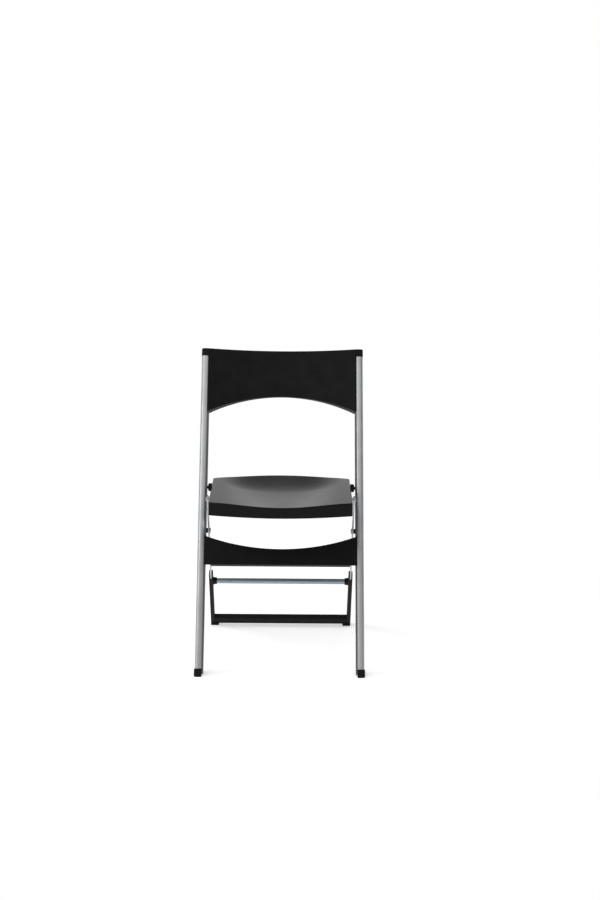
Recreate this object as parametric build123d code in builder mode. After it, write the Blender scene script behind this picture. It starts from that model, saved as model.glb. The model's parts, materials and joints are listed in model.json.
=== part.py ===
"""Folding chair: two leaning aluminium uprights, moulded back, seat and front panel, rear leg frame.

Every leg and seat pin turns about X.  The seat's rear glides run in a groove of each upright, so
the seat, the uprights and the short upper arm of the leg bars make an isosceles triangle that
closes flat: the chair folds to the depth of its uprights.  Millimetres, +Z up, the seated person
faces -Y, the chair stands open on the floor Z = 0.
"""
from build123d import *
from math import atan, cos, radians, sin, sqrt, tan
import os

os.makedirs("parts", exist_ok=True)

# ------------------------------------------------------------------ stance and linkage
overall_width = 446.0  # over the outer faces of the two uprights
upright_lean = 30.0  # lean of the uprights from the vertical, degrees
leg_spread = 60.5  # angle between the leg bars and the uprights, chair open, degrees
pivot_height = 388.0  # floor to the leg pivot, along an upright
arm = 122.0  # leg pivot to seat pivot, and seat pivot to glide
running_gap = 0.3  # between faces of pieces that move past each other
pin_play = 0.05  # radial play of a pin in the hole that turns on it

# ------------------------------------------------------------------ aluminium uprights
upright_width = 18.5  # across the chair
upright_depth = 30.0
upright_wall = 2.0
upright_crown = 1.5  # how far the front and rear faces curve out
upright_outer_radius = 7.0
upright_inner_radius = 2.5
mouth = 16.0  # open mouth of the channel, on the inner side
upright_foot_cut = 13.0  # floor to the sawn lower end, along the upright
cap_height = 21.5  # moulded cap above the sawn upper end

# ------------------------------------------------------------------ plastic strips in the channels
strip_flange = 4.0  # how far a strip stands proud of the aluminium
strip_width = 24.0
strip_tongue = 7.5  # depth inside the channel
strip_floor_gap = 3.0
groove_depth = 10.0
glide_stud_radius = 4.0
glide_travel_spare = 6.0  # groove left over above the folded glide
plug_gap = 0.2  # plugs and blocks inside the channel

# ------------------------------------------------------------------ backrest
back_clearance = 46.0  # between the folded seat's rear corners and the back
back_height = 182.5  # lower corners to the top, along the upright
back_arch = 49.0  # rise of the arched lower edge
back_depth = 28.0
back_bow = 20.0  # how far the front face curves away from the sitter
back_skin = 4.0
back_wall = 3.5
back_rib = 2.5
back_rib_pitch = 58.0
back_edge = 1.0
cap_proud = 0.5
cap_edge = 1.5

# ------------------------------------------------------------------ front panel
panel_below_pivot = 17.0
panel_height = 79.5
panel_dip = 36.0  # sag of the curved upper edge
panel_front = 13.5  # front face, forward of the uprights' centre plane
panel_skin = 2.9
panel_body_depth = 22.0
panel_body_gap = 4.8  # each side of the deep part, which lies between the folded leg bars
panel_wall = 3.0
panel_rib_pitch = 46.0
panel_edge = 1.0

# ------------------------------------------------------------------ rear leg frame
bar_thickness = 4.0
bar_width = 20.0
bar_to_upright = 5.2  # from the bar's outer face to the strip
lower_leg_width = 11.0
lower_leg_depth = 24.0
lower_leg_tip_depth = 20.0
lower_leg_edge = 1.2
leg_to_upright = 1.7
hub_reach = 205.5  # leg pivot to the cross tube
fork_height = 35.0  # prongs above the cross tube
fork_root = 12.0
tube_radius = 7.5
tube_wall = 1.5
socket_radius = 11.0
socket_tip_radius = 9.0
socket_length = 10.5
tube_insert_length = 20.0
crossbar_centre = 19.5  # above the floor
crossbar_height = 20.0
crossbar_depth = 16.0
crossbar_wall = 3.0
crossbar_rib_pitch = 42.0
tenon_length = 6.0
rear_foot_height = 6.0
rear_foot_inner_step = 11.5  # how far a rear foot reaches inwards past the leg
rear_foot_overhang = 1.5
rear_foot_corner = 3.0
rear_foot_edge = 1.0
front_foot_proud = 1.5
foot_plug = 30.0
foot_peg_radius = 3.5
foot_peg_length = 12.0

# ------------------------------------------------------------------ seat
seat_side_gap = 13.7  # from a side of the seat to the strip
seat_front = 92.0  # seat pivot to the front corners
seat_rear = 43.0  # glide to the rear corners
seat_front_bulge = 26.0  # how far the curved front edge bulges past its corners
seat_rear_bulge = 36.0
seat_rise = 15.5  # top corners above the pivot line
seat_drop = 19.5  # skirt below the pivot line
bowl_depth = 6.0  # shallow round hollow of the sitting surface
bowl_border = 9.5  # from its rim to the middle of the front and rear edges
bowl_blend = 0.2  # share of its radius that rounds over into the flat border
bowl_cross = 0.05  # how far its profile ends above the border, so that the two cross
seat_skin = 3.5
seat_skirt = 3.5
seat_corner = 5.0
seat_edge = 3.0
seat_rim_edge = 1.2
seat_rib = 2.5
seat_rib_pitch = 58.0
seat_rib_drop = 9.0  # lower edge of the ribs below the pivot line
rail_thickness = 3.0
rail_width = 13.0
rail_overhang = 14.0

# ------------------------------------------------------------------ pins and fasteners
pin_radius = 4.0
pin_head_radius = 7.0
pin_head = 2.6
spacer_radius = 6.5
glide_radius = 11.0
glide_edge = 4.0  # rounding of the glide's outer rim
glide_to_strip = 2.5  # from the glide's face to the strip
seat_pin_head_radius = 5.0
block_length = 30.0
screw_radius = 1.75
screw_head_radius = 3.5
screw_head = 2.0
screw_length = 13.0
tube_screw_radius = 3.0
tube_screw_head_radius = 5.0
tube_screw_head = 3.0
leg_screw_radius = 2.5
leg_screw_head_radius = 4.5
leg_screw_head = 3.0
leg_screw_length = 26.0
rivet_radius = 2.0
rivet_head_radius = 4.0
rivet_head = 1.2
rivet_end_skin = 1.0  # plastic left over the blind end of a rivet
back_screw_low = 25.0  # above the back's lower corners
back_screw_high = 20.0  # below the sawn end of the upright
panel_screw_inset = 16.0

# ------------------------------------------------------------------ derived places across the chair
x_outer = overall_width / 2
x_channel = x_outer - upright_width
x_strip = x_channel - strip_flange
x_tongue = x_channel + strip_tongue
x_bar_out = x_strip - bar_to_upright
x_bar_in = x_bar_out - bar_thickness
x_leg_out = x_strip - leg_to_upright
x_leg_in = x_leg_out - lower_leg_width
x_skirt = x_strip - seat_side_gap
x_skirt_in = x_skirt - seat_skirt
x_rail_in = x_skirt_in - rail_thickness
x_screw = (x_channel + x_tongue) / 2
x_panel_body = x_bar_in - panel_body_gap

# the hollow fills the seat's length and leaves a wider flat border at the sides
seat_front_end = -seat_front - seat_front_bulge
seat_rear_end = arm + seat_rear + seat_rear_bulge
bowl_middle = (seat_front_end + seat_rear_end) / 2
bowl_rim = (seat_rear_end - seat_front_end) / 2 - bowl_border

# the rear face of an upright where the screws enter it
crown_radius = ((upright_width / 2) ** 2 + upright_crown**2) / (2 * upright_crown)
screw_off_middle = (x_channel + x_outer) / 2 - x_screw
crown_drop = crown_radius - sqrt(crown_radius**2 - screw_off_middle**2)
screw_seat = upright_depth / 2 - crown_drop

# ------------------------------------------------------------------ derived frames
lean = radians(upright_lean)
leg_lean = radians(leg_spread) - lean  # of the rear legs, the other way
seat_tilt = radians(leg_spread) + lean - radians(90)  # front edge up
glide_open = pivot_height + 2 * arm * cos(radians(leg_spread))
glide_folded = pivot_height + 2 * arm
panel_top = pivot_height - panel_below_pivot
panel_bottom = panel_top - panel_height
back_bottom = glide_folded + seat_rear + back_clearance
upright_top = back_bottom + back_height  # floor to the top of the back, along an upright
pivot_z = pivot_height * cos(lean)
leg_reach = pivot_z / cos(leg_lean)  # leg pivot to the floor, along the leg

# the chair's depth, from the front feet to the top of the back, is centred on Y = 0
front_most = -(upright_depth / 2 + front_foot_proud) / cos(lean)
cap_back = upright_depth / 2 + cap_proud - cap_edge
rear_most = (upright_top - cap_edge) * sin(lean) + cap_back * cos(lean) + cap_edge
floor_y = -(front_most + rear_most) / 2  # where the uprights' centre plane meets the floor


def tilted(y, z, angle):
    """A plane whose Z leans back by the angle, with X across the chair and Y to the rear."""
    return Plane(origin=(0, y, z), x_dir=(1, 0, 0), z_dir=(0, sin(angle), cos(angle)))


def side_of(plane, x):
    """A plane across X: local X runs along the given plane's Z, local Y to the front."""
    return Plane(origin=plane.origin + Vector(x, 0, 0), x_dir=plane.z_dir, z_dir=(1, 0, 0))


def front_of(plane, forward=0.0):
    """A plane that faces the front: local X across the chair, local Y along the plane's Z."""
    face = Plane(origin=plane.origin, x_dir=(1, 0, 0), z_dir=-plane.y_dir)
    return face.offset(forward)


upright_plane = tilted(floor_y, 0, lean)
pivot_y = floor_y + pivot_height * sin(lean)
leg_plane = tilted(pivot_y, pivot_z, -leg_lean)
leg_pivot = leg_plane.origin
seat_pivot = leg_plane.from_local_coords(Vector(0, 0, arm))
seat_plane = tilted(seat_pivot.Y, seat_pivot.Z, seat_tilt)
glide_point = upright_plane.from_local_coords(Vector(0, 0, glide_open))
hub_point = leg_plane.from_local_coords(Vector(0, 0, -hub_reach))
crossbar_reach = (pivot_z - crossbar_centre) / cos(leg_lean)
crossbar_point = leg_plane.from_local_coords(Vector(0, 0, -crossbar_reach))
ankle_y = pivot_y + (pivot_z - rear_foot_height) * tan(leg_lean)


# ------------------------------------------------------------------ helpers
def save(part, name):
    part.label = name
    export_step(part, f"parts/{name}.step")


def save_pair(part, name):
    """The piece as modelled is the right one, at +X, and its mirror image is the left one."""
    save(part, f"{name}_right")
    save(mirror(part, about=Plane.YZ), f"{name}_left")


def turned(point, *steps, mode=Mode.ADD):
    """Discs on one axle across the chair, each from x to x with its radius."""
    for start, end, radius in steps:
        with Locations(Plane(origin=(start, point.Y, point.Z), z_dir=(1, 0, 0))):
            Cylinder(radius, end - start, align=(Align.CENTER, Align.CENTER, Align.MIN), mode=mode)


def upright_section(plane, inset=0.0):
    """Outer section of an upright, or what lies inside it by the inset."""
    middle = (x_channel + x_outer) / 2
    face = upright_depth / 2
    edge = face - upright_crown
    with BuildSketch(plane) as section:
        with BuildLine():
            ThreePointArc((x_channel, -edge), (middle, -face), (x_outer, -edge))
            Line((x_outer, -edge), (x_outer, edge))
            ThreePointArc((x_outer, edge), (middle, face), (x_channel, edge))
            Line((x_channel, edge), (x_channel, -edge))
        make_face()
        fillet(section.vertices().group_by(Axis.X)[-1], upright_outer_radius)
        fillet(section.vertices().group_by(Axis.X)[0], upright_inner_radius)
        if inset:
            offset(amount=-inset, mode=Mode.REPLACE)
    return section.sketch


def plug_section(plane, x_from):
    """Section of a piece that fills the rest of the upright's channel, from x outwards."""
    with BuildSketch(plane) as section:
        add(upright_section(Plane.XY, upright_wall + plug_gap))
        with Locations((x_from + upright_width / 2, 0)):
            Rectangle(upright_width, upright_depth, mode=Mode.INTERSECT)
    return section.sketch


def strip_section(plane):
    """Flange on the inner side of an upright, and the tongue that holds it in the channel."""
    with BuildSketch(plane) as section:
        with Locations(((x_strip + x_channel) / 2, 0)):
            Rectangle(strip_flange, strip_width)
        fillet(section.vertices().group_by(Axis.X)[0], strip_flange / 3)
        with Locations(((x_channel + x_tongue) / 2, 0)):
            Rectangle(strip_tongue, mouth)
    return section.sketch


def arch_outline(half_width, low, high, bend):
    """Panel outline, with one edge that curves: the upper one if bend is negative."""
    lower = bend if bend > 0 else 0
    upper = bend if bend < 0 else 0
    with BuildLine() as outline:
        if lower:
            ThreePointArc((-half_width, low), (0, low + lower), (half_width, low))
        else:
            Line((-half_width, low), (half_width, low))
        Line((half_width, low), (half_width, high))
        if upper:
            ThreePointArc((half_width, high), (0, high + upper), (-half_width, high))
        else:
            Line((half_width, high), (-half_width, high))
        Line((-half_width, high), (-half_width, low))
    return outline.line


def cross_edges(face):
    """Edges of a face that run from one upright to the other."""
    along = Axis(upright_plane.origin, upright_plane.z_dir)
    return face.edges().filter_by(along, reverse=True)


def rear_screws(heights):
    """Pan-head screws through the uprights' rear walls, into the tongue of what they hold."""
    for x in (-x_screw, x_screw):
        for height in heights:
            centre = upright_plane.from_local_coords(Vector(x, screw_seat, height))
            with Locations(Plane(origin=centre, z_dir=upright_plane.y_dir)):
                Cylinder(
                    screw_head_radius,
                    screw_head,
                    align=(Align.CENTER, Align.CENTER, Align.MIN),
                )
                Cylinder(
                    screw_radius,
                    screw_length,
                    align=(Align.CENTER, Align.CENTER, Align.MAX),
                )


back_screw_heights = (back_bottom + back_screw_low, upright_top - cap_height - back_screw_high)
panel_screw_heights = (panel_bottom + panel_screw_inset, panel_top - panel_screw_inset)

# ------------------------------------------------------------------ fasteners of the front frame
with BuildPart() as back_screws:
    rear_screws(back_screw_heights)
save(back_screws.part, "back_screws")

with BuildPart() as panel_screws:
    rear_screws(panel_screw_heights)
save(panel_screws.part, "panel_screws")

# ------------------------------------------------------------------ uprights
with BuildPart() as upright:
    with BuildSketch(upright_plane.offset(upright_foot_cut)):
        add(upright_section(Plane.XY))
        add(upright_section(Plane.XY, upright_wall), mode=Mode.SUBTRACT)
        with Locations((x_channel + upright_wall / 2, 0)):
            Rectangle(upright_wall, mouth, mode=Mode.SUBTRACT)
    extrude(amount=upright_top - cap_height - upright_foot_cut)
    add(back_screws.part, mode=Mode.SUBTRACT)
    add(panel_screws.part, mode=Mode.SUBTRACT)
save_pair(upright.part, "upright")

# ------------------------------------------------------------------ strips in the channels
with BuildPart() as glide_track:
    extrude(strip_section(upright_plane.offset(panel_top)), amount=back_bottom - panel_top)
    groove_half = glide_stud_radius + running_gap
    groove_top = glide_folded + glide_travel_spare
    with BuildSketch(side_of(upright_plane, x_strip)):
        with Locations(((glide_open + groove_top) / 2, 0)):
            SlotCenterToCenter(groove_top - glide_open, 2 * groove_half)
    extrude(amount=groove_depth, mode=Mode.SUBTRACT)
    turned(leg_pivot, (x_strip, x_tongue, pin_radius), mode=Mode.SUBTRACT)
save_pair(glide_track.part, "glide_track")

with BuildPart() as lower_strip:
    extrude(strip_section(upright_plane), amount=panel_bottom)
    with Locations((x_channel, floor_y, strip_floor_gap)):
        Box(
            2 * upright_width,
            4 * upright_depth,
            2 * upright_depth,
            align=(Align.CENTER, Align.CENTER, Align.MAX),
            mode=Mode.SUBTRACT,
        )
save_pair(lower_strip.part, "lower_strip")

# ------------------------------------------------------------------ front feet
with BuildPart() as front_foot:
    foot_width = upright_width + front_foot_proud
    with BuildSketch(upright_plane.offset(-upright_depth)):
        with Locations((x_channel + foot_width / 2, 0)):
            Rectangle(foot_width, upright_depth + 2 * front_foot_proud)
        fillet(vertices().group_by(Axis.X)[-1], upright_outer_radius)
        fillet(vertices().group_by(Axis.X)[0], upright_inner_radius)
    extrude(amount=upright_depth + upright_foot_cut)
    fillet(edges().group_by(Axis((0, 0, 0), upright_plane.z_dir))[-1], front_foot_proud / 2)
    extrude(plug_section(upright_plane.offset(upright_foot_cut), x_tongue + plug_gap), amount=foot_plug)
    with Locations((x_channel, floor_y, 0)):
        Box(
            4 * upright_width,
            8 * upright_depth,
            4 * upright_depth,
            align=(Align.CENTER, Align.CENTER, Align.MAX),
            mode=Mode.SUBTRACT,
        )
    add(lower_strip.part, mode=Mode.SUBTRACT)
save_pair(front_foot.part, "front_foot")

# ------------------------------------------------------------------ backrest
back_rear = back_depth / 2
back_half = x_channel
bow_half = x_strip
bow_radius = (bow_half**2 + back_bow**2) / (2 * back_bow)


def bow_region(plane, skin):
    """What lies in front of the bowed face, or of that face moved back by the skin."""
    edge = -back_rear + skin
    side = sqrt((bow_radius) ** 2 - back_half**2)
    centre = -back_rear + back_bow - bow_radius
    with BuildSketch(plane) as region:
        with BuildLine():
            ThreePointArc(
                (-back_half, centre + side + skin),
                (0, centre + bow_radius + skin),
                (back_half, centre + side + skin),
            )
            Polyline(
                (back_half, centre + side + skin),
                (back_half, edge - 2 * back_depth),
                (-back_half, edge - 2 * back_depth),
                (-back_half, centre + side + skin),
            )
        make_face()
    return region.sketch


with BuildPart() as back_pockets:
    with BuildSketch(front_of(upright_plane, -back_rear)):
        add(arch_outline(bow_half, back_bottom, upright_top, back_arch))
        make_face()
        offset(amount=-back_wall, kind=Kind.INTERSECTION, mode=Mode.REPLACE)
    extrude(amount=back_depth)
    extrude(
        bow_region(upright_plane.offset(back_bottom), back_skin),
        amount=upright_top - back_bottom,
        mode=Mode.SUBTRACT,
    )
    rib_count = int(2 * bow_half / back_rib_pitch)
    rib_middle = upright_plane.offset((back_bottom + upright_top) / 2)
    for rib in range(rib_count):
        rib_x = (rib - (rib_count - 1) / 2) * back_rib_pitch
        with Locations(rib_middle * Location((rib_x, 0, 0))):
            Box(back_rib, 2 * back_depth, upright_top - back_bottom, mode=Mode.SUBTRACT)

with BuildPart() as back_end:
    cap_width = upright_width + cap_proud
    with BuildSketch(upright_plane.offset(upright_top - cap_height)):
        with Locations((x_channel + cap_width / 2, 0)):
            Rectangle(cap_width, upright_depth + 2 * cap_proud)
        fillet(vertices().group_by(Axis.X)[-1], upright_outer_radius + cap_proud)
    extrude(amount=cap_height)
    fillet(edges().sort_by(Axis(upright_plane.origin, upright_plane.z_dir))[-5:], cap_edge)
    with Locations(upright_plane.offset(back_bottom) * Location((x_channel, 0, 0))):
        Box(
            strip_tongue,
            mouth,
            upright_top - cap_height - back_bottom,
            align=(Align.MIN, Align.CENTER, Align.MIN),
        )

with BuildPart() as backrest:
    with BuildSketch(front_of(upright_plane, -back_rear)):
        add(arch_outline(back_half, back_bottom, upright_top, back_arch))
        make_face()
    extrude(amount=back_depth)
    extrude(
        bow_region(upright_plane.offset(back_bottom - back_wall), 0),
        amount=upright_top - back_bottom + 2 * back_wall,
        mode=Mode.SUBTRACT,
    )
    fillet(cross_edges(faces().filter_by(GeomType.CYLINDER).sort_by(SortBy.AREA)[-1]), back_edge)
    add(back_pockets.part, mode=Mode.SUBTRACT)
    add(back_end.part)
    add(mirror(back_end.part, about=Plane.YZ, mode=Mode.PRIVATE))
    add(back_screws.part, mode=Mode.SUBTRACT)
save(backrest.part, "backrest")

# ------------------------------------------------------------------ front panel
panel_rear = panel_front - panel_body_depth
with BuildPart() as panel_pockets:
    with BuildSketch(front_of(upright_plane, panel_rear)):
        add(arch_outline(x_panel_body, panel_bottom, panel_top, -panel_dip))
        make_face()
        offset(amount=-panel_wall, kind=Kind.INTERSECTION, mode=Mode.REPLACE)
    extrude(amount=panel_body_depth - panel_skin)
    rib_count = int(2 * x_panel_body / panel_rib_pitch)
    for rib in range(rib_count):
        rib_x = (rib - (rib_count - 1) / 2) * panel_rib_pitch
        with Locations(upright_plane.offset(panel_bottom) * Location((rib_x, 0, 0))):
            Box(
                back_rib,
                2 * upright_depth,
                panel_top - panel_bottom,
                align=(Align.CENTER, Align.CENTER, Align.MIN),
                mode=Mode.SUBTRACT,
            )

with BuildPart() as front_panel:
    with BuildSketch(front_of(upright_plane, panel_front - panel_skin)):
        add(arch_outline(x_channel, panel_bottom, panel_top, -panel_dip))
        make_face()
    extrude(amount=panel_skin)
    with BuildSketch(front_of(upright_plane, panel_rear)):
        add(arch_outline(x_channel, panel_bottom, panel_top, -panel_dip))
        make_face()
        with Locations((0, (panel_bottom + panel_top) / 2)):
            Rectangle(2 * x_panel_body, panel_top, mode=Mode.INTERSECT)
    extrude(amount=panel_body_depth)
    add(panel_pockets.part, mode=Mode.SUBTRACT)
    end_profile = strip_section(upright_plane.offset(panel_bottom))
    end_height = panel_top - panel_bottom
    extrude(end_profile, amount=end_height)
    extrude(mirror(end_profile, about=Plane.YZ, mode=Mode.PRIVATE), amount=end_height)
    backwards = Axis(upright_plane.origin, upright_plane.y_dir)
    chamfer(cross_edges(faces().sort_by(backwards)[0]), panel_edge)
    add(panel_screws.part, mode=Mode.SUBTRACT)
save(front_panel.part, "front_panel")

# ------------------------------------------------------------------ leg pivots
with BuildPart() as pivot_block:
    block_plane = upright_plane.offset(pivot_height - block_length / 2)
    extrude(plug_section(block_plane, x_tongue), amount=block_length)
    turned(leg_pivot, (x_tongue, x_outer - upright_wall - plug_gap, pin_radius), mode=Mode.SUBTRACT)
save_pair(pivot_block.part, "pivot_block")

with BuildPart() as leg_pivot_pin:
    head_from = x_bar_in - running_gap - pin_head
    turned(
        leg_pivot,
        (head_from, head_from + pin_head, pin_head_radius),
        (head_from, x_outer - upright_wall - plug_gap, pin_radius),
    )
    fillet(edges().sort_by(Axis.X)[0], pin_head / 3)
save_pair(leg_pivot_pin.part, "leg_pivot_pin")

with BuildPart() as pivot_spacer:
    turned(leg_pivot, (x_bar_out + running_gap, x_strip, spacer_radius))
    turned(leg_pivot, (x_bar_out + running_gap, x_strip, pin_radius), mode=Mode.SUBTRACT)
save_pair(pivot_spacer.part, "pivot_spacer")

# ------------------------------------------------------------------ rear leg frame
with BuildPart() as leg_bar:
    with BuildSketch(side_of(leg_plane, x_bar_in)):
        with Locations(((arm - hub_reach) / 2, 0)):
            SlotCenterToCenter(arm + hub_reach, bar_width)
        with Locations((0, 0), (arm, 0)):
            Circle(pin_radius + pin_play, mode=Mode.SUBTRACT)
        with Locations((-hub_reach, 0)):
            Circle(tube_screw_radius, mode=Mode.SUBTRACT)
    extrude(amount=bar_thickness)
save_pair(leg_bar.part, "leg_bar")

with BuildPart() as tube_screws:
    for side in (1, -1):
        seat_x = side * x_bar_out
        outer = side * (x_bar_out + tube_screw_head)
        inner = side * (x_leg_in - tube_insert_length)
        turned(hub_point, (min(seat_x, outer), max(seat_x, outer), tube_screw_head_radius))
        turned(hub_point, (min(seat_x, inner), max(seat_x, inner), tube_screw_radius))
        socket = Plane(origin=(outer, hub_point.Y, hub_point.Z), z_dir=(side, 0, 0))
        with BuildSketch(socket):
            RegularPolygon(tube_screw_radius, 6)
        extrude(amount=-tube_screw_head / 2, mode=Mode.SUBTRACT)
save(tube_screws.part, "tube_screws")

with BuildPart() as leg_screws:
    for side in (1, -1):
        head_in = side * (x_leg_out - leg_screw_head)
        head_out = side * x_leg_out
        tip = side * (x_leg_out - leg_screw_length)
        turned(crossbar_point, (min(head_in, head_out), max(head_in, head_out), leg_screw_head_radius))
        turned(crossbar_point, (min(head_in, tip), max(head_in, tip), leg_screw_radius))
save(leg_screws.part, "leg_screws")

with BuildPart() as rear_crossbar:
    with BuildSketch(side_of(leg_plane, -x_leg_in)):
        with Locations((-crossbar_reach, 0)):
            RectangleRounded(crossbar_height, crossbar_depth, crossbar_wall)
    extrude(amount=2 * x_leg_in)
    for tenon_x in (x_leg_in, -x_leg_in - tenon_length):
        with BuildSketch(side_of(leg_plane, tenon_x)):
            with Locations((-crossbar_reach, 0)):
                RectangleRounded(
                    crossbar_height - 2 * crossbar_wall, crossbar_depth - 2 * crossbar_wall, crossbar_wall / 2
                )
        extrude(amount=tenon_length)
    bay_count = int(2 * (x_leg_in - leg_screw_length) / crossbar_rib_pitch)
    bay_plane = Plane(
        origin=leg_plane.from_local_coords(Vector(0, crossbar_depth / 2, -crossbar_reach)),
        x_dir=(1, 0, 0),
        z_dir=leg_plane.y_dir,
    )
    with BuildSketch(bay_plane):
        with GridLocations(crossbar_rib_pitch, 1, bay_count, 1):
            RectangleRounded(
                crossbar_rib_pitch - crossbar_wall, crossbar_height - 2 * crossbar_wall, crossbar_wall / 2
            )
    extrude(amount=crossbar_wall - crossbar_depth, mode=Mode.SUBTRACT)
    add(leg_screws.part, mode=Mode.SUBTRACT)
save(rear_crossbar.part, "rear_crossbar")

with BuildPart() as lower_leg:
    fork_top = fork_height - hub_reach
    sole = -leg_reach - lower_leg_depth
    with BuildSketch(side_of(leg_plane, x_leg_in)):
        with BuildLine():
            half_top = lower_leg_depth / 2
            half_tip = lower_leg_tip_depth / 2
            Polyline(
                (fork_top, -half_top),
                (fork_top, half_top),
                (-hub_reach, half_top),
                (-crossbar_reach, half_tip),
                (sole, half_tip),
                (sole, -half_tip),
                (-crossbar_reach, -half_tip),
                (-hub_reach, -half_top),
                (fork_top, -half_top),
            )
        make_face()
        fillet(vertices().group_by(Axis.X)[-1], half_top / 2)
    extrude(amount=lower_leg_width)
    fillet(edges().filter_by(Axis.X, reverse=True).filter_by(GeomType.LINE), lower_leg_edge)
    with BuildSketch(side_of(leg_plane, x_bar_in)):
        slot_end = -hub_reach - bar_width / 2 - running_gap
        with Locations(((slot_end + fork_top) / 2, 0)):
            Rectangle(fork_top - slot_end, 2 * lower_leg_depth)
    extrude(amount=bar_thickness, mode=Mode.SUBTRACT)
    turned(hub_point, (x_bar_out, x_leg_out, tube_screw_head_radius + running_gap), mode=Mode.SUBTRACT)
    turned(hub_point, (x_leg_in, x_bar_in, tube_screw_radius), mode=Mode.SUBTRACT)
    with Locations((x_leg_in, ankle_y, rear_foot_height)):
        Box(
            4 * lower_leg_width,
            8 * lower_leg_depth,
            4 * lower_leg_depth,
            align=(Align.CENTER, Align.CENTER, Align.MAX),
            mode=Mode.SUBTRACT,
        )
    with Locations((x_leg_in + lower_leg_width / 2, ankle_y, rear_foot_height)):
        Cylinder(
            foot_peg_radius,
            foot_peg_length,
            align=(Align.CENTER, Align.CENTER, Align.MIN),
            mode=Mode.SUBTRACT,
        )
    add(leg_screws.part, mode=Mode.SUBTRACT)
    add(rear_crossbar.part, mode=Mode.SUBTRACT)
save_pair(lower_leg.part, "lower_leg")

with BuildPart() as rear_foot:
    foot_x = (x_leg_in - rear_foot_inner_step + x_leg_out) / 2
    foot_length = lower_leg_tip_depth / cos(leg_lean) + 2 * rear_foot_overhang
    with BuildSketch():
        with Locations((foot_x, ankle_y)):
            RectangleRounded(lower_leg_width + rear_foot_inner_step, foot_length, rear_foot_corner)
    extrude(amount=rear_foot_height)
    fillet(faces().sort_by(Axis.Z)[-1].edges(), rear_foot_edge)
    with Locations((x_leg_in + lower_leg_width / 2, ankle_y, rear_foot_height)):
        Cylinder(foot_peg_radius, foot_peg_length, align=(Align.CENTER, Align.CENTER, Align.MIN))
    add(rear_crossbar.part, mode=Mode.SUBTRACT)
    add(lower_leg.part, mode=Mode.SUBTRACT)
save_pair(rear_foot.part, "rear_foot")

with BuildPart() as cross_tube:
    turned(hub_point, (-x_leg_in, x_leg_in, tube_radius))
    turned(hub_point, (-x_leg_in, x_leg_in, tube_radius - tube_wall), mode=Mode.SUBTRACT)
save(cross_tube.part, "cross_tube")

with BuildPart() as tube_socket:
    socket_plane = Plane(origin=(x_leg_in, hub_point.Y, hub_point.Z), z_dir=(-1, 0, 0))
    with Locations(socket_plane):
        Cone(
            socket_radius,
            socket_tip_radius,
            socket_length,
            align=(Align.CENTER, Align.CENTER, Align.MIN),
        )
    turned(hub_point, (x_leg_in - socket_length, x_leg_in, tube_radius), mode=Mode.SUBTRACT)
save_pair(tube_socket.part, "tube_socket")

with BuildPart() as tube_inserts:
    for x_from in (x_leg_in - tube_insert_length, -x_leg_in):
        x_to = x_from + tube_insert_length
        turned(hub_point, (x_from, x_to, tube_radius - tube_wall))
        turned(hub_point, (x_from, x_to, tube_screw_radius), mode=Mode.SUBTRACT)
save(tube_inserts.part, "tube_inserts")

# ------------------------------------------------------------------ seat
seat_back_y = arm + seat_rear
seat_mid_y = (seat_back_y - seat_front) / 2
seat_half_depth = (seat_back_y + seat_front) / 2


def seat_outline():
    """Plan of the seat, with its curved front and rear edges."""
    front_middle = -seat_front - seat_front_bulge
    rear_middle = seat_back_y + seat_rear_bulge
    with BuildLine() as outline:
        ThreePointArc((-x_skirt, -seat_front), (0, front_middle), (x_skirt, -seat_front))
        Line((x_skirt, -seat_front), (x_skirt, seat_back_y))
        ThreePointArc((x_skirt, seat_back_y), (0, rear_middle), (-x_skirt, seat_back_y))
        Line((-x_skirt, seat_back_y), (-x_skirt, -seat_front))
    return outline.line


def bowl(below):
    """The round hollow of the sitting surface, or the same hollow moved down by a skin."""
    steepest = 2 * atan(bowl_depth / bowl_rim)
    turn = bowl_rim * (1 - bowl_blend)
    turn_height = turn * tan(steepest / 2) - bowl_depth
    origin = seat_plane.from_local_coords(Vector(0, bowl_middle, seat_rise - below + bowl_cross))
    with BuildSketch(Plane(origin=origin, x_dir=(1, 0, 0), z_dir=-seat_plane.y_dir)) as hollow:
        with BuildLine():
            TangentArc((0, -bowl_depth), (turn, turn_height), tangent=(1, 0))
            TangentArc((bowl_rim, 0), (turn, turn_height), tangent=(-1, 0))
            Polyline((bowl_rim, 0), (bowl_rim, bowl_depth), (0, bowl_depth), (0, -bowl_depth))
        make_face()
    revolve(hollow.sketch, axis=Axis(origin, seat_plane.z_dir), mode=Mode.SUBTRACT)


with BuildPart() as seat_cavity:
    with BuildSketch(seat_plane.offset(-seat_drop)):
        add(seat_outline())
        make_face()
        fillet(vertices(), seat_corner)
        offset(amount=-seat_skirt, mode=Mode.REPLACE)
    extrude(amount=seat_drop + seat_rise - seat_skin)
    bowl(seat_skin)
    rib_plane = seat_plane.offset(-seat_rib_drop)
    rib_span = x_rail_in - pin_head - running_gap - seat_rib / 2
    with BuildSketch(rib_plane) as rib_grid:
        across = 2 * int(rib_span / seat_rib_pitch) + 1
        along = int((2 * seat_half_depth + seat_rear_bulge) / seat_rib_pitch)
        with GridLocations(seat_rib_pitch, 1, across, 1):
            Rectangle(seat_rib, 4 * seat_half_depth)
        with Locations((rib_span, 0), (-rib_span, 0)):
            Rectangle(seat_rib, 4 * seat_half_depth)
        with Locations((0, seat_mid_y)):
            with GridLocations(1, seat_rib_pitch, 1, along):
                Rectangle(2 * rib_span, seat_rib)
    extrude(amount=seat_rib_drop + 2 * seat_rise, mode=Mode.SUBTRACT)

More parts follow.
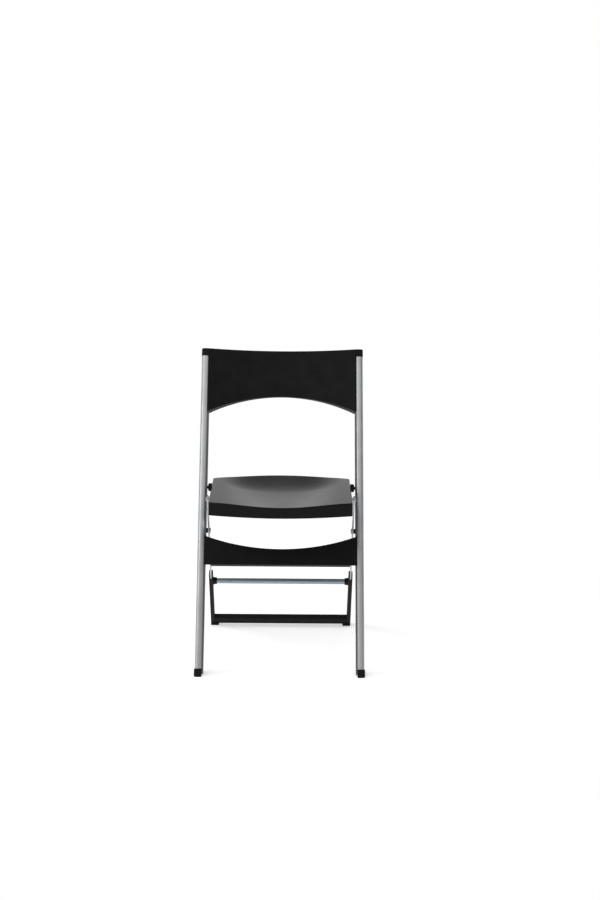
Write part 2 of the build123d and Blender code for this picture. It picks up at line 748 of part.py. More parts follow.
rivet_places = [
    seat_plane.from_local_coords(Vector(0, place, 0)) for place in (arm * 0.3, arm * 0.7)
]
with BuildPart() as rail_rivets:
    for place in rivet_places:
        turned(
            place,
            (x_rail_in - rivet_head, x_rail_in, rivet_head_radius),
            (x_rail_in - rivet_head, x_skirt - rivet_end_skin, rivet_radius),
            (-x_rail_in, -x_rail_in + rivet_head, rivet_head_radius),
            (rivet_end_skin - x_skirt, -x_rail_in + rivet_head, rivet_radius),
        )
save(rail_rivets.part, "rail_rivets")

with BuildPart() as seat_shell:
    with BuildSketch(seat_plane.offset(-seat_drop)):
        add(seat_outline())
        make_face()
        fillet(vertices(), seat_corner)
    extrude(amount=seat_drop + seat_rise)
    bowl(0)
    flat_faces = faces().filter_by(GeomType.PLANE).sort_by(Axis((0, 0, 0), seat_plane.z_dir))
    fillet(flat_faces[-1].outer_wire().edges(), seat_edge)
    fillet(flat_faces[0].edges(), seat_rim_edge)
    add(seat_cavity.part, mode=Mode.SUBTRACT)
    for point in (seat_pivot, glide_point):
        turned(point, (-x_skirt, -x_skirt_in, pin_radius), mode=Mode.SUBTRACT)
        turned(point, (x_skirt_in, x_skirt, pin_radius), mode=Mode.SUBTRACT)
    add(rail_rivets.part, mode=Mode.SUBTRACT)
save(seat_shell.part, "seat_shell")

with BuildPart() as seat_rail:
    rail_plane = Plane(
        origin=seat_pivot + Vector(x_rail_in, 0, 0), x_dir=seat_plane.y_dir, z_dir=(1, 0, 0)
    )
    with BuildSketch(rail_plane):
        with Locations((arm / 2, 0)):
            SlotOverall(arm + 2 * rail_overhang, rail_width)
        with Locations((0, 0), (arm, 0)):
            Circle(pin_radius, mode=Mode.SUBTRACT)
    extrude(amount=rail_thickness)
    add(rail_rivets.part, mode=Mode.SUBTRACT)
save_pair(seat_rail.part, "seat_rail")

with BuildPart() as seat_pivot_pin:
    turned(
        seat_pivot,
        (x_rail_in - pin_head, x_rail_in, rail_width / 2),
        (x_rail_in - pin_head, x_bar_out + running_gap + pin_head, pin_radius),
        (x_bar_out + running_gap, x_bar_out + running_gap + pin_head, seat_pin_head_radius),
    )
    fillet(edges().sort_by(Axis.X)[-1], pin_head / 3)
save_pair(seat_pivot_pin.part, "seat_pivot_pin")

with BuildPart() as seat_spacer:
    turned(seat_pivot, (x_skirt, x_bar_in - running_gap, spacer_radius))
    turned(seat_pivot, (x_skirt, x_bar_in - running_gap, pin_radius), mode=Mode.SUBTRACT)
save_pair(seat_spacer.part, "seat_spacer")

with BuildPart() as glide:
    glide_face = x_strip - glide_to_strip
    turned(glide_point, (x_skirt, glide_face, glide_radius))
    fillet(edges().sort_by(Axis.X)[-1], glide_edge)
    turned(
        glide_point,
        (x_rail_in, x_skirt, pin_radius),
        (glide_face, x_strip + groove_depth - running_gap, glide_stud_radius),
    )
    turned(glide_point, (x_rail_in, x_skirt + pin_head, screw_radius), mode=Mode.SUBTRACT)
save_pair(glide.part, "glide")

with BuildPart() as glide_screw:
    turned(
        glide_point,
        (x_rail_in - screw_head, x_rail_in, rail_width / 2),
        (x_rail_in - screw_head, x_skirt + pin_head, screw_radius),
    )
save_pair(glide_screw.part, "glide_screw")
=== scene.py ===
"""Folding chair: a few moulded forms, the finish of every piece, soft studio light and camera.

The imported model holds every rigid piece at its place, so most of them only get the surface that
their material and making leave on them.  Made here are the seat with its wide hollow, the bar
between the rear feet, and the webs in the forks of the lower legs.  Lengths are in metres unless a
name says mm.
"""

import json
from math import cos, hypot, pi, radians, sin

import bmesh
import bpy
from mathutils import Matrix, Vector


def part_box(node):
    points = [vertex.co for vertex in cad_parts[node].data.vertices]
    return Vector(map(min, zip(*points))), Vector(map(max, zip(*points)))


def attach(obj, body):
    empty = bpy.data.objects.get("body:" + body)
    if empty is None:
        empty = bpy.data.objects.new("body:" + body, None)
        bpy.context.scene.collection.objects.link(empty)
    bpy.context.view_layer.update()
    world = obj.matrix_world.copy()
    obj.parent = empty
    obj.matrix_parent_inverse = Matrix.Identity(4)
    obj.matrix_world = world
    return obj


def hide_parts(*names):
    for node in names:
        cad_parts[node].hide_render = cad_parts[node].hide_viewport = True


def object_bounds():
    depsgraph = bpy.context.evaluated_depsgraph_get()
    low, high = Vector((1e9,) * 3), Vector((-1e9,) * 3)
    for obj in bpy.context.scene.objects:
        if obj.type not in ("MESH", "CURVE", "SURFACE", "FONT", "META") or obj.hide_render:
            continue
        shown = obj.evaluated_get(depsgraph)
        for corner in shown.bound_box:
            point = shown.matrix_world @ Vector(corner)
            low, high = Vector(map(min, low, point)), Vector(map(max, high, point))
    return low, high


MM = 0.001

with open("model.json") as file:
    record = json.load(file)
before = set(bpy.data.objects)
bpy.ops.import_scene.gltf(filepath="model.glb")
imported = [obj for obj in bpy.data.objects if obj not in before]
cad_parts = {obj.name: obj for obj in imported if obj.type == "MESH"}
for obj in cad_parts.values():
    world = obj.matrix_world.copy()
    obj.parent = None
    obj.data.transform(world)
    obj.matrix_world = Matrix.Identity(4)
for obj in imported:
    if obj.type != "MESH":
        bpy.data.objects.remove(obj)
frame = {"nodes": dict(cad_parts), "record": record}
cad_low, cad_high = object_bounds()

UPRIGHT_LEAN = radians(30)  # the uprights lean to the rear
LEG_LEAN = radians(-30.5)  # the rear legs lean to the front


# ------------------------------------------------------------------ moulded pieces
SAME_CORNER = 0.001 * MM  # corners nearer than this are one
SHARP_TURN = radians(28)  # an edge that turns by more than this stays sharp


def merged_copy(solid):
    """A copy of a solid's mesh with its loose triangles joined, ready to be shaped."""
    shape = bmesh.new()
    shape.from_mesh(solid.data)
    bmesh.ops.remove_doubles(shape, verts=shape.verts, dist=SAME_CORNER)
    return shape


def moulded_piece(name, shape):
    """The piece that a shape makes, smooth between its sharp edges."""
    mesh = bpy.data.meshes.new(name)
    shape.to_mesh(mesh)
    shape.free()
    mesh.shade_smooth()
    mesh.set_sharp_from_angle(angle=SHARP_TURN)
    piece = bpy.data.objects.new(name, mesh)
    bpy.context.scene.collection.objects.link(piece)
    return piece


# ------------------------------------------------------------------ seat
SEAT_HOLLOW = 9.8 * MM  # deepest point of the sitting surface, under its side borders
SEAT_LIP = 0.75  # share of that depth that runs out through the front edge
SEAT_LOWEST = 0.51  # place of the deepest point, from the front edge, as a share of the length
SEAT_BOW = 0.25  # how much further back it is lowest at the hollow's sides
SEAT_TURN = 0.5  # how gradually it turns up to the rear edge
SEAT_HOLLOW_HALF = 168 * MM  # half the hollow's width
SEAT_PLATE = 9 * MM  # top of the seat that moves as one, with its skin and ribs
SEAT_CUT = 12 * MM  # spacing of the cuts that let the surface bend
SEAT_BORDER = 6 * MM  # from the seat's side to where its flat border is felt
SEAT_FELT = 0.3  # how far before and behind the middle that is, as a share of the length
FEEL_FROM = 0.1  # height over the seat from which its surface is felt
SAT_ON = 0.99  # least upward part of the normal of a face that is sat on


def seat_hollow(x, share):
    """How far the surface lies under the side borders, at a share of the length."""
    aside = min(abs(x) / SEAT_HOLLOW_HALF, 1)
    lowest = SEAT_LOWEST + SEAT_BOW * aside**2
    if share < lowest:
        along = SEAT_LIP + (1 - SEAT_LIP) * sin(share / lowest * pi / 2)
        wide = share / lowest
    else:
        rear = (share - lowest) / (1 - lowest)
        along = 1 - (hypot(rear, SEAT_TURN) - SEAT_TURN) / (hypot(1, SEAT_TURN) - SEAT_TURN)
        wide = 1
    return SEAT_HOLLOW * along * (1 + cos(pi * aside ** (1 + wide))) / 2


def dished_seat(shell):
    """The moulded seat with its wide hollow, which lowers the middle of the front edge."""
    low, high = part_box("seat_shell")
    middle = (low + high) / 2
    size = high - low

    def surface(x, y):
        above = Vector((x, y, high.z + FEEL_FROM))
        hit, place, normal, _ = shell.ray_cast(above, Vector((0, 0, -1)))
        return place.z if hit and normal.z > SAT_ON else None

    side = low.x + SEAT_BORDER
    front, rear = middle.y - size.y * SEAT_FELT, middle.y + size.y * SEAT_FELT
    border = surface(side, front)
    slope = (surface(side, rear) - border) / (rear - front)
    shape = merged_copy(shell)
    for axis in (0, 1):
        direction = Vector((1 - axis, axis, 0))
        for step in range(1, int(size[axis] / SEAT_CUT)):
            everything = shape.verts[:] + shape.edges[:] + shape.faces[:]
            at = low + direction * step * SEAT_CUT
            bmesh.ops.bisect_plane(shape, geom=everything, plane_co=at, plane_no=direction)
    for corner in shape.verts:
        x, y, z = corner.co
        flat = border + slope * (y - front)
        top = surface(x, y)
        own = flat - top if top else 0.0
        held = min(max((z - low.z) / (size.z - SEAT_PLATE), 0), 1)
        corner.co.z += held * (own - seat_hollow(x, min(max((y - low.y) / size.y, 0), 1)))
    return moulded_piece("dished_seat", shape)


seat_piece = dished_seat(frame["nodes"]["seat_shell"])
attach(seat_piece, "seat")
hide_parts("seat_shell")


# ------------------------------------------------------------------ rear legs
CROSSBAR_UP = 1.2 * MM  # the bar between the rear feet reaches this much higher than its solid
CROSSBAR_DOWN = 2.8 * MM  # and this much lower
WEB_WIDE = 4.4 * MM  # fills the slot for the leg bar and bites into both prongs
WEB_THICK = 1.7 * MM  # lies between the bar's front and the leg's
WEB_LONG = 26 * MM  # from under the cross tube up the prongs, before its tapered end
WEB_TAPER = 4 * MM  # length of that end
WEB_THIN = 0.4  # share of the thickness that is left at its tip
WEB_UP = 1.5 * MM  # its middle, up the leg from the cross tube
WEB_AHEAD = 10.95 * MM  # its middle, forward of the bar's middle
WEB_EDGE = 0.3 * MM  # radius of its moulded edges
WEB_END = 0.9  # least part of the normal of its upper end that points up the leg


def taller_crossbar(solid):
    """The moulded bar between the rear feet, a little taller than its solid."""
    low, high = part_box("rear_crossbar")
    shape = merged_copy(solid)
    for corner in shape.verts:
        share = (high.z - corner.co.z) / (high.z - low.z)
        corner.co.z += CROSSBAR_UP - share * (CROSSBAR_UP + CROSSBAR_DOWN)
    bar = moulded_piece("moulded_crossbar", shape)
    flats = bar.modifiers.new("even_flats", "WEIGHTED_NORMAL")
    flats.keep_sharp = True
    bpy.ops.object.select_all(action="DESELECT")
    bpy.context.view_layer.objects.active = bar
    bpy.ops.object.modifier_apply(modifier=flats.name)
    return bar


def fork_web(name, x, hub):
    """The web that joins a lower leg's prongs in front of the bar, beside the cross tube."""
    up = Vector((0, sin(LEG_LEAN), cos(LEG_LEAN)))
    ahead = Vector((0, -cos(LEG_LEAN), sin(LEG_LEAN)))
    place = hub + up * WEB_UP + ahead * WEB_AHEAD
    bpy.ops.object.select_all(action="DESELECT")
    bpy.ops.mesh.primitive_cube_add(
        size=1, location=(x, place.y, place.z), rotation=(-LEG_LEAN, 0, 0)
    )
    web = bpy.context.object
    web.name = web.data.name = name
    web.scale = (WEB_WIDE, WEB_THICK, WEB_LONG)
    bpy.ops.object.transform_apply(location=True, rotation=True, scale=True)
    # the upper end alone is drawn out
    for part in (*web.data.vertices, *web.data.edges):
        part.select = False
    for face in web.data.polygons:
        face.select = face.normal.dot(up) > WEB_END
    bpy.ops.object.mode_set(mode="EDIT")
    bpy.ops.mesh.select_mode(type="FACE")
    bpy.ops.mesh.extrude_region_move(TRANSFORM_OT_translate={"value": up * WEB_TAPER})
    bpy.ops.object.mode_set(mode="OBJECT")
    tip_from = WEB_LONG / 2 + WEB_TAPER / 2
    tip = [corner for corner in web.data.vertices if (corner.co - place).dot(up) > tip_from]
    front = max((corner.co - place).dot(ahead) for corner in tip)
    for corner in tip:
        corner.co += ahead * (1 - WEB_THIN) * (front - (corner.co - place).dot(ahead))
    edges = web.modifiers.new("moulded_edges", "BEVEL")
    edges.width = WEB_EDGE
    edges.segments = 2
    bpy.ops.object.modifier_apply(modifier=edges.name)
    put_in_order(web.data)
    return web


def put_in_order(mesh):
    """Store corners and faces by their places, because a bevel's own order changes each run."""
    corners = sorted(tuple(corner.co) for corner in mesh.vertices)
    number = {corner: place for place, corner in enumerate(corners)}
    faces = []
    for face in mesh.polygons:
        around = [number[tuple(mesh.vertices[corner].co)] for corner in face.vertices]
        first = around.index(min(around))
        faces.append(around[first:] + around[:first])
    mesh.clear_geometry()
    mesh.from_pydata(corners, [], sorted(faces))


def copied_piece(name, piece, shift):
    """The same piece again, with a mesh of its own, at another place."""
    copy = bpy.data.objects.new(name, piece.data.copy())
    copy.data.name = name
    copy.data.transform(Matrix.Translation(shift))
    bpy.context.scene.collection.objects.link(copy)
    return copy


crossbar_piece = taller_crossbar(frame["nodes"]["rear_crossbar"])
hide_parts("rear_crossbar")
tube_middle = sum(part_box("cross_tube"), Vector()) / 2
left_middle, right_middle = (
    sum(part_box("leg_bar_" + side), Vector()).x / 2 for side in ("left", "right")
)
left_web = fork_web("fork_web_left", left_middle, tube_middle)
right_web = copied_piece("fork_web_right", left_web, (right_middle - left_middle, 0, 0))
leg_pieces = (crossbar_piece, left_web, right_web)
for leg_piece in leg_pieces:
    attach(leg_piece, "rear_legs")


# ------------------------------------------------------------------ material tools
NOISE_SPREAD = (0.3, 0.7)  # a soft noise lies mostly between these values


def linear(hex_colour):
    """RGBA in linear light from an sRGB hex value, by the sRGB curve."""
    levels = [int(hex_colour[place : place + 2], 16) / 255 for place in (1, 3, 5)]
    curve = [s / 12.92 if s <= 0.04045 else ((s + 0.055) / 1.055) ** 2.4 for s in levels]
    return (*curve, 1.0)


def per_metre(size_mm):
    """Texture scale whose features are about this many millimetres apart."""
    return 1.0 / (size_mm * MM)


def add_node(tree, kind, output=None, links=None, inputs=None, colours=(), **settings):
    """A node with its settings, values and links, or the named one of its outputs."""
    node = tree.nodes.new(kind)
    for name, value in settings.items():
        setattr(node, name, value)
    for name, value in (inputs or {}).items():
        node.inputs[name].default_value = value
    for name, source in (links or {}).items():
        tree.links.new(source, node.inputs[name])
    for place, colour in enumerate(colours):
        node.color_ramp.elements[place].position = NOISE_SPREAD[place]
        node.color_ramp.elements[place].color = linear(colour)
    return node if output is None else node.outputs[output]


def new_material(name):
    """An empty material and its node tree."""
    material = bpy.data.materials.new(name)
    material.use_nodes = True
    material.node_tree.nodes.clear()
    return material, material.node_tree


def along_profile(tree, lean, across_mm, along_mm):
    """A place on the chair at rest, turned to a leaning profile and stretched along it."""
    place = add_node(tree, "ShaderNodeTexCoord", "Object")
    turned = add_node(
        tree,
        "ShaderNodeMapping",
        "Vector",
        links={"Vector": place},
        inputs={"Rotation": (lean, 0.0, 0.0)},
    )
    across = per_metre(across_mm)
    return add_node(
        tree,
        "ShaderNodeMapping",
        "Vector",
        links={"Vector": turned},
        inputs={"Scale": (across, across, per_metre(along_mm))},
    )


def drawn_lines(tree, lean, across_mm, along_mm, detail):
    """Fine lines that a die or rolls leave along a profile, from 0 to 1."""
    return add_node(
        tree,
        "ShaderNodeTexNoise",
        "Fac",
        links={"Vector": along_profile(tree, lean, across_mm, along_mm)},
        inputs={"Scale": 1.0, "Detail": detail},
    )


def lay_finish(
    material, values, colour, roughness, relief, roughness_over=NOISE_SPREAD, mirror=None
):
    """Give a material its shader, with colour, roughness and fine relief from its patterns.

    colour is a pattern and two sRGB hex values, roughness a pattern and its two values, relief a
    pattern, its depth in mm and its strength, and mirror a pattern for how much it mirrors.
    """
    tree = material.node_tree
    tint, *hexes = colour
    rough, dull, polished = roughness
    height, depth_mm, strength = relief
    links = {
        "Base Color": add_node(
            tree, "ShaderNodeValToRGB", "Color", links={"Fac": tint}, colours=hexes
        ),
        "Roughness": add_node(
            tree,
            "ShaderNodeMapRange",
            "Result",
            links={"Value": rough},
            inputs={
                "From Min": roughness_over[0],
                "From Max": roughness_over[1],
                "To Min": dull,
                "To Max": polished,
            },
        ),
        "Normal": add_node(
            tree,
            "ShaderNodeBump",
            "Normal",
            links={"Height": height},
            inputs={"Distance": depth_mm * MM, "Strength": strength},
        ),
    }
    if mirror is not None:
        links["Specular IOR Level"] = mirror
    shader = add_node(tree, "ShaderNodeBsdfPrincipled", "BSDF", links=links, inputs=values)
    add_node(tree, "ShaderNodeOutputMaterial", links={"Surface": shader})
    return material


# ------------------------------------------------------------------ materials
def anodised_aluminium():
    """Extruded and clear anodised: a satin metal with faint die lines along the profile."""
    material, tree = new_material("anodised_aluminium")
    # die lines are about 0.3 mm apart, drawn at 1.4 mm so that they show
    lines = drawn_lines(tree, UPRIGHT_LEAN, across_mm=1.4, along_mm=700.0, detail=3.0)
    patches = add_node(
        tree,
        "ShaderNodeTexNoise",
        "Fac",
        links={"Vector": add_node(tree, "ShaderNodeTexCoord", "Object")},
        inputs={"Scale": per_metre(size_mm=45.0)},
    )
    return lay_finish(
        material,
        {"Metallic": 1.0},
        colour=(patches, "#c3c4c6", "#cccdce"),
        roughness=(lines, 0.36, 0.46),
        relief=(lines, 0.03, 0.25),
    )


# over this range the painted shade on the seat's sides fades into the sitting surface
SIDE_TO_TOP = (0.3, 0.9)  # upward part of the normal, from a side's to a sitting surface's


def moulded_plastic(name, colours, roughness, specular, pit_depth_mm, shaded_side_specular=None):
    """Injection moulded in a spark-eroded tool: black, finely pitted, dull to satin."""
    # pits scatter most of the mirror reflection, which leaves a black that is deeper than gloss
    material, tree = new_material(name)
    place = add_node(tree, "ShaderNodeTexCoord", "Object")
    # pits are about 0.1 mm apart, drawn at 0.9 mm so that they show
    pits = add_node(
        tree,
        "ShaderNodeTexNoise",
        "Fac",
        links={"Vector": place},
        inputs={"Scale": per_metre(size_mm=0.9), "Detail": 4.0, "Roughness": 0.6},
    )
    # the melt's flow leaves patches of a few centimetres
    flow = add_node(
        tree,
        "ShaderNodeTexNoise",
        "Fac",
        links={"Vector": place},
        inputs={"Scale": per_metre(size_mm=38.0), "Detail": 5.0, "Roughness": 0.6},
    )
    mirror = None
    if shaded_side_specular is not None:
        # painted shade: faces that point sideways mirror less than the sitting surface, so the
        # seat's sides and front lip come out darker
        facing = add_node(tree, "ShaderNodeTexCoord", "Normal")
        upward = add_node(tree, "ShaderNodeSeparateXYZ", "Z", links={"Vector": facing})
        mirror = add_node(
            tree,
            "ShaderNodeMapRange",
            "Result",
            links={"Value": upward},
            inputs={
                "From Min": SIDE_TO_TOP[0],
                "From Max": SIDE_TO_TOP[1],
                "To Min": shaded_side_specular,
                "To Max": specular,
            },
        )
    return lay_finish(
        material,
        {"IOR": 1.49, "Specular IOR Level": specular},
        colour=(flow, *colours),
        roughness=(flow, *roughness),
        relief=(pits, pit_depth_mm, 0.3),
        mirror=mirror,
    )


def extruded_pvc():
    """Black strip pulled through a die: smoother than the mouldings, with faint long lines."""
    material, tree = new_material("extruded_pvc")
    # the lines are finer than 0.3 mm, drawn at 1.2 mm so that they show
    lines = drawn_lines(tree, UPRIGHT_LEAN, across_mm=1.2, along_mm=400.0, detail=2.0)
    return lay_finish(
        material,
        {"IOR": 1.53, "Specular IOR Level": 0.3},
        colour=(lines, "#535355", "#5f5f61"),
        roughness=(lines, 0.38, 0.5),
        relief=(lines, 0.03, 0.2),
    )


def zinc_plated_steel():
    """Rolled flat steel and turned pins with bright zinc: cloudy, with fine rolling lines."""
    material, tree = new_material("zinc_plated_steel")
    # rolling lines are about 0.2 mm apart, drawn at 1 mm so that they show
    lines = drawn_lines(tree, LEG_LEAN, across_mm=1.0, along_mm=120.0, detail=3.0)
    bloom = add_node(
        tree,
        "ShaderNodeTexNoise",
        "Fac",
        links={"Vector": add_node(tree, "ShaderNodeTexCoord", "Object")},
        inputs={"Scale": per_metre(size_mm=7.0), "Detail": 4.0, "Roughness": 0.6},
    )
    return lay_finish(
        material,
        {"Metallic": 1.0},
        colour=(bloom, "#a9adb1", "#c2c5c8"),
        roughness=(bloom, 0.26, 0.4),
        relief=(lines, 0.02, 0.2),
    )


def galvanised_tube():
    """Welded steel tube with a passivated zinc coat: blue-grey, with faint spangle."""
    material, tree = new_material("galvanised_tube")
    place = add_node(tree, "ShaderNodeTexCoord", "Object")
    spangle = add_node(
        tree,
        "ShaderNodeTexVoronoi",
        "Distance",
        links={"Vector": place},
        inputs={"Scale": per_metre(size_mm=5.0), "Randomness": 1.0},
    )
    bloom = add_node(
        tree,
        "ShaderNodeTexNoise",
        "Fac",
        links={"Vector": place},
        inputs={"Scale": per_metre(size_mm=18.0), "Detail": 3.0},
    )
    return lay_finish(
        material,
        {"Metallic": 1.0},
        colour=(bloom, "#9ba8b2", "#a9b4bc"),
        roughness=(spangle, 0.54, 0.62),
        relief=(bloom, 0.02, 0.1),
        roughness_over=(0.0, 0.8),
    )


SCUFFED_UP_TO = 5 * MM  # the floor scuffs the feet below this height


def foot_rubber():
    """Moulded rubber: dull, fine grained, scuffed to a dusty grey near the floor."""
    material, tree = new_material("foot_rubber")
    place = add_node(tree, "ShaderNodeTexCoord", "Object")
    # the grain is about 0.2 mm, drawn at 0.8 mm so that it shows
    grain = add_node(
        tree,
        "ShaderNodeTexNoise",
        "Fac",
        links={"Vector": place},
        inputs={"Scale": per_metre(size_mm=0.8), "Detail": 4.0, "Roughness": 0.7},
    )
    scuffs = add_node(
        tree,
        "ShaderNodeTexNoise",
        "Fac",
        links={"Vector": place},
        inputs={"Scale": per_metre(size_mm=6.0), "Detail": 5.0, "Roughness": 0.7},
    )
    height = add_node(tree, "ShaderNodeSeparateXYZ", "Z", links={"Vector": place})
    low_down = add_node(
        tree,
        "ShaderNodeMapRange",
        "Result",
        links={"Value": height},
        inputs={"From Min": 0.0, "From Max": SCUFFED_UP_TO, "To Min": 1.0, "To Max": 0.0},
    )
    worn = add_node(
        tree, "ShaderNodeMath", "Value", links={0: low_down, 1: scuffs}, operation="MULTIPLY"
    )
    return lay_finish(
        material,
        {"IOR": 1.52, "Specular IOR Level": 0.15},
        colour=(worn, "#151515", "#454340"),
        roughness=(scuffs, 0.62, 0.85),
        relief=(grain, 0.08, 0.35),
    )


finishes = {
    "aluminium": anodised_aluminium(),
    "black_plastic": moulded_plastic(
        "moulded_polypropylene",
        colours=("#111112", "#171717"),
        roughness=(0.54, 0.46),
        specular=0.115,
        pit_depth_mm=0.06,
    ),
    "seat_plastic": moulded_plastic(
        "seat_polypropylene",
        colours=("#09090a", "#0d0d0d"),
        roughness=(0.18, 0.13),
        specular=0.2,
        pit_depth_mm=0.015,
        # painted shade: a lower specular on the sides darkens the seat's front lip and sides
        shaded_side_specular=0.13,
    ),
    "leg_nylon": moulded_plastic(
        "glass_filled_nylon",
        colours=("#131314", "#1a1a1b"),
        roughness=(0.5, 0.4),
        specular=0.14,
        pit_depth_mm=0.05,
    ),
    "strip_plastic": extruded_pvc(),
    "zinc_steel": zinc_plated_steel(),
    "tube_steel": galvanised_tube(),
    "rubber": foot_rubber(),
}
nylon_pieces = ("lower_leg", "rear_crossbar", "tube_socket", "pivot_spacer", "pivot_block")


def slot_of(node_name):
    """The material slot that the record gives a node."""
    for subpart in frame["record"]["subparts"]:
        if subpart["node"] == node_name:
            return subpart["material_slot"]
    raise KeyError(node_name)


for node_name, node in frame["nodes"].items():
    node.data.materials.clear()
    is_nylon = node_name.startswith(nylon_pieces)
    node.data.materials.append(finishes["leg_nylon" if is_nylon else slot_of(node_name)])
seat_piece.data.materials.append(finishes["seat_plastic"])
for leg_piece in leg_pieces:
    leg_piece.data.materials.append(finishes["leg_nylon"])


# ------------------------------------------------------------------ floor
FLOOR_RADIUS = 6.0
FLOOR_GLOW = 0.385  # lifts the lit floor to white and leaves the chair's shadow on it
FLOOR_FADE = (0.6, 1.2)  # distances from the middle between which it runs into the backdrop


def seen_rays(tree):
    """Two masks: rays from the camera or mirrored by metal and plastic, and the first alone."""
    ray = add_node(tree, "ShaderNodeLightPath")
    mirrored = add_node(
        tree,
        "ShaderNodeMath",
        "Value",
        links={0: ray.outputs["Is Glossy Ray"], 1: ray.outputs["Is Transmission Ray"]},
        operation="MAXIMUM",
    )
    seen = add_node(
        tree,
        "ShaderNodeMath",
        "Value",
        links={0: ray.outputs["Is Camera Ray"], 1: mirrored},
        operation="MAXIMUM",
    )
    return seen, ray.outputs["Is Camera Ray"]


def pale_floor():
    """White floor that keeps the chair's soft shadow and runs out into the white background."""
    material, tree = new_material("pale_floor")
    paint = add_node(tree, "ShaderNodeBsdfDiffuse", "BSDF", inputs={"Color": linear("#efefef")})
    shaded = add_node(tree, "ShaderNodeBsdfDiffuse", "BSDF", inputs={"Color": linear("#eeeeee")})
    glow = add_node(tree, "ShaderNodeEmission", "Emission", inputs={"Strength": FLOOR_GLOW})
    lifted = add_node(tree, "ShaderNodeAddShader", "Shader", links={0: shaded, 1: glow})
    backdrop = add_node(tree, "ShaderNodeEmission", "Emission", inputs={"Strength": 1.0})
    distance = add_node(
        tree,
        "ShaderNodeVectorMath",
        "Value",
        links={"Vector": add_node(tree, "ShaderNodeTexCoord", "Object")},
        operation="LENGTH",
    )
    far = add_node(
        tree,
        "ShaderNodeMapRange",
        "Result",
        links={"Value": distance},
        inputs={"From Min": FLOOR_FADE[0], "From Max": FLOOR_FADE[1]},
    )
    edge = add_node(
        tree, "ShaderNodeMixShader", "Shader", links={0: far, 1: lifted, 2: backdrop}
    )
    seen, _ = seen_rays(tree)
    surface = add_node(tree, "ShaderNodeMixShader", "Shader", links={0: seen, 1: paint, 2: edge})
    add_node(tree, "ShaderNodeOutputMaterial", links={"Surface": surface})
    return material


bpy.ops.object.select_all(action="DESELECT")
bpy.ops.mesh.primitive_circle_add(
    vertices=96, radius=FLOOR_RADIUS, fill_type="NGON", location=(0, 0, 0)
)
floor = bpy.context.object
floor.name = "floor"
floor.data.materials.append(pale_floor())


# ------------------------------------------------------------------ room and lamps
ROOM_LIGHT = 0.66  # even light from all sides on rough surfaces
ROOM_LEFT = 0.6  # brightness of the room's left, middle and right, as gloss mirrors them
ROOM_MIDDLE = 0.42
ROOM_RIGHT = 0.3
ROOM_DIM = 0.3  # what is left of it above the backdrop
BACKDROP_TOP = 0.3  # height at which the lit backdrop ends, as the upward part of a direction
BACKDROP_SOFT = (0.11, 0.13)  # how far under and over that it fades

# part of the room: axis of the direction, where it starts and ends, and its values there
ROOM_PARTS = {
    "left": ("X", -0.7, 0.1, ROOM_LEFT, ROOM_MIDDLE),
    "right": ("X", 0.1, 0.7, 1.0, ROOM_RIGHT / ROOM_MIDDLE),
    "behind": ("Y", 0.2, 0.6, 0.0, 1.0),
    "ceiling": ("Z", 0.45, 0.8, 0.0, 1.0),
    "low": ("Z", BACKDROP_TOP - BACKDROP_SOFT[0], BACKDROP_TOP + BACKDROP_SOFT[1], 1.0, 0.0),
}


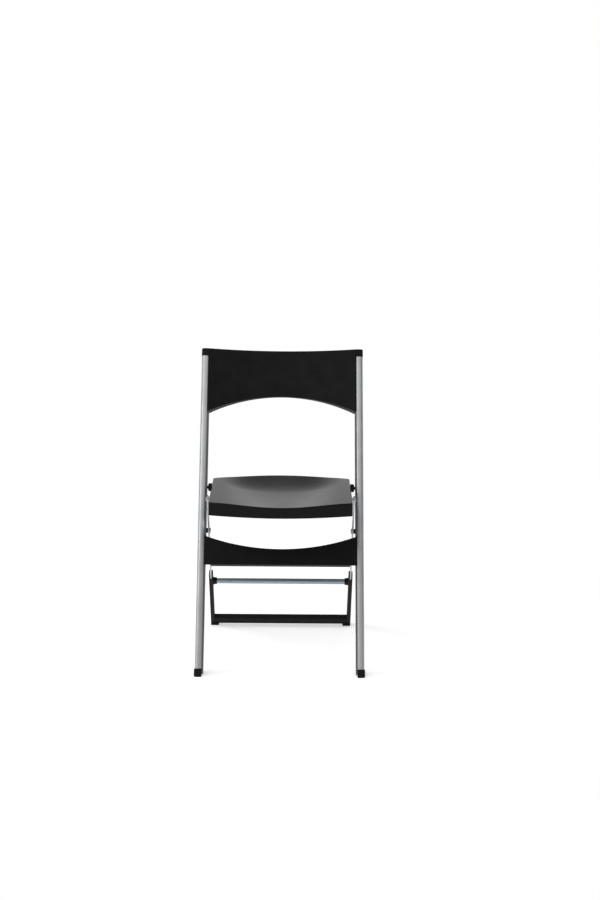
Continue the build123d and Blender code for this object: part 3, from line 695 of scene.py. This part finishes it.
def studio_world():
    """A white studio: even light on the object, and a room that its metal and plastic mirror."""
    world = bpy.data.worlds.new("studio")
    bpy.context.scene.world = world
    world.use_nodes = True
    tree = world.node_tree
    tree.nodes.clear()
    direction = add_node(tree, "ShaderNodeTexCoord", "Generated")
    toward = add_node(tree, "ShaderNodeSeparateXYZ", links={"Vector": direction})
    part = {}
    for name, (axis, start, end, first, last) in ROOM_PARTS.items():
        part[name] = add_node(
            tree,
            "ShaderNodeMapRange",
            "Result",
            links={"Value": toward.outputs[axis]},
            inputs={"From Min": start, "From Max": end, "To Min": first, "To Max": last},
        )
    # the room is bright on the left and plainer in front and on the right
    sides = add_node(
        tree,
        "ShaderNodeMath",
        "Value",
        links={0: part["left"], 1: part["right"]},
        operation="MULTIPLY",
    )
    # above the backdrop it is dim as far up as the ceiling
    upper = add_node(
        tree, "ShaderNodeMix", 0, links={0: part["ceiling"]}, inputs={2: ROOM_DIM, 3: 1.0}
    )
    dim = add_node(
        tree, "ShaderNodeMix", 0, links={0: part["behind"], 3: upper}, inputs={2: 1.0}
    )
    room = add_node(
        tree, "ShaderNodeMath", "Value", links={0: sides, 1: dim}, operation="MULTIPLY"
    )
    # behind the object stands the lit backdrop
    backdrop = add_node(
        tree,
        "ShaderNodeMath",
        "Value",
        links={0: part["low"], 1: part["behind"]},
        operation="MULTIPLY",
    )
    mirrored = add_node(
        tree, "ShaderNodeMix", 0, links={0: backdrop, 2: room}, inputs={3: 1.0}
    )
    seen, from_camera = seen_rays(tree)
    shown = add_node(
        tree, "ShaderNodeMix", 0, links={0: from_camera, 2: mirrored}, inputs={3: 1.0}
    )
    strength = add_node(
        tree, "ShaderNodeMix", 0, links={0: seen, 3: shown}, inputs={2: ROOM_LIGHT}
    )
    light = add_node(
        tree,
        "ShaderNodeBackground",
        "Background",
        links={"Strength": strength},
        inputs={"Color": (1.0, 1.0, 1.0, 1.0)},
    )
    add_node(tree, "ShaderNodeOutputWorld", links={"Surface": light})


def soft_lamp(name, place, size, power, target, mirrored):
    """A square softbox aimed at the chair."""
    lamp = bpy.data.lights.new(name, "AREA")
    lamp.shape = "SQUARE"
    lamp.size = size
    lamp.energy = power
    holder = bpy.data.objects.new(name, lamp)
    holder.location = place
    aim = Vector(target) - Vector(place)
    holder.rotation_euler = aim.to_track_quat("-Z", "Y").to_euler()
    holder.visible_camera = False
    holder.visible_glossy = mirrored
    bpy.context.scene.collection.objects.link(holder)


studio_world()
chair_middle = (cad_low + cad_high) / 2
# name, place, side of the square, watts, and whether gloss mirrors it
for lamp_name, lamp_place, lamp_size, lamp_watts, lamp_mirrored in (
    ("key_left", (-3.2, 0.3, 2.1), 1.6, 50.0, False),
    ("near_left", (-1.2, -1.1, 1.6), 0.9, 6.0, True),
    ("top", (-0.2, -1.2, 2.6), 1.2, 2.8, True),
):
    soft_lamp(lamp_name, lamp_place, lamp_size, lamp_watts, chair_middle, lamp_mirrored)


# ------------------------------------------------------------------ camera
CAMERA_PLACE = (0.02635, -4.1555, 1.5733)
CAMERA_LENS_MM = 63.9
CAMERA_SENSOR_MM = 36.0
CAMERA_TURN = radians(-0.325)  # to the right
CAMERA_TIP = radians(90 - 13.787)  # up from straight down, to 13.787 degrees under level
CAMERA_ROLL = radians(0.5)  # about the line of sight


def front_camera():
    """Long lens, a little right of the middle and above the chair, looking slightly down."""
    lens = bpy.data.cameras.new("camera")
    lens.sensor_width = CAMERA_SENSOR_MM
    lens.lens = CAMERA_LENS_MM
    camera = bpy.data.objects.new("camera", lens)
    turn = Matrix.Rotation(CAMERA_TURN, 4, "Z")
    tip = Matrix.Rotation(CAMERA_TIP, 4, "X")
    roll = Matrix.Rotation(CAMERA_ROLL, 4, "Z")
    camera.matrix_world = Matrix.Translation(CAMERA_PLACE) @ turn @ tip @ roll
    bpy.context.scene.collection.objects.link(camera)
    bpy.context.scene.camera = camera


front_camera()
bpy.context.scene.view_settings.view_transform = "Standard"
